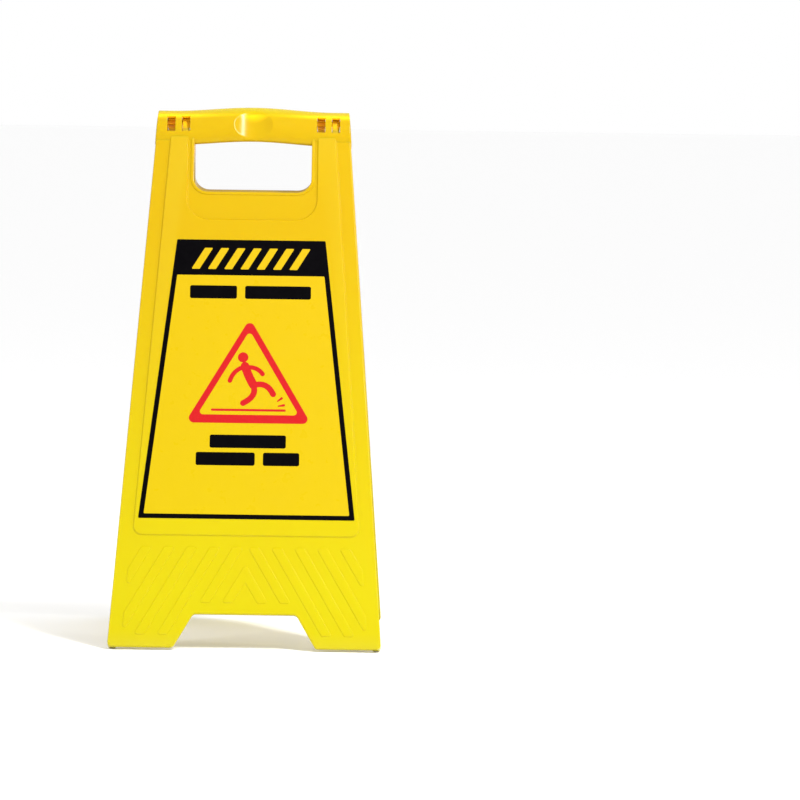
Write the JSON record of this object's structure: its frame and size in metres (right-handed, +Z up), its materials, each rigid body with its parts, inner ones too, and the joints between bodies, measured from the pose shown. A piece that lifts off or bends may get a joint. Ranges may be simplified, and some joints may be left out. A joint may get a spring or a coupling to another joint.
{
  "type": "a-frame floor sign",
  "caption": "Folding A-frame floor sign in moulded plastic: hinged tapered panels with a grip beam, handle holes, label fields and arched feet.",
  "frame": {"origin": "on the floor, under the middle of the hinge line, with the sign standing open", "axes": "+Z up; the hinge line runs along X; the front panel faces -Y and the rear panel +Y"},
  "size_m": [0.2992, 0.4262, 0.5905],
  "materials": {
    "panel_plastic": "injection-moulded polypropylene, warm yellow, fine satin grain",
    "label_film": "printed yellow film with black border and red pictogram"
  },
  "bodies": {
    "front": {"front_panel": "panel_plastic", "front_label": "label_film"},
    "rear": {"rear_panel": "panel_plastic", "rear_label": "label_film"}
  },
  "joints": [
    {"name": "fold", "type": "hinge", "parent": "front", "child": "rear", "pos_m": [0, 0, 0.57295], "axis": [-1, 0, 0], "range_deg": [0, 38]}
  ]
}
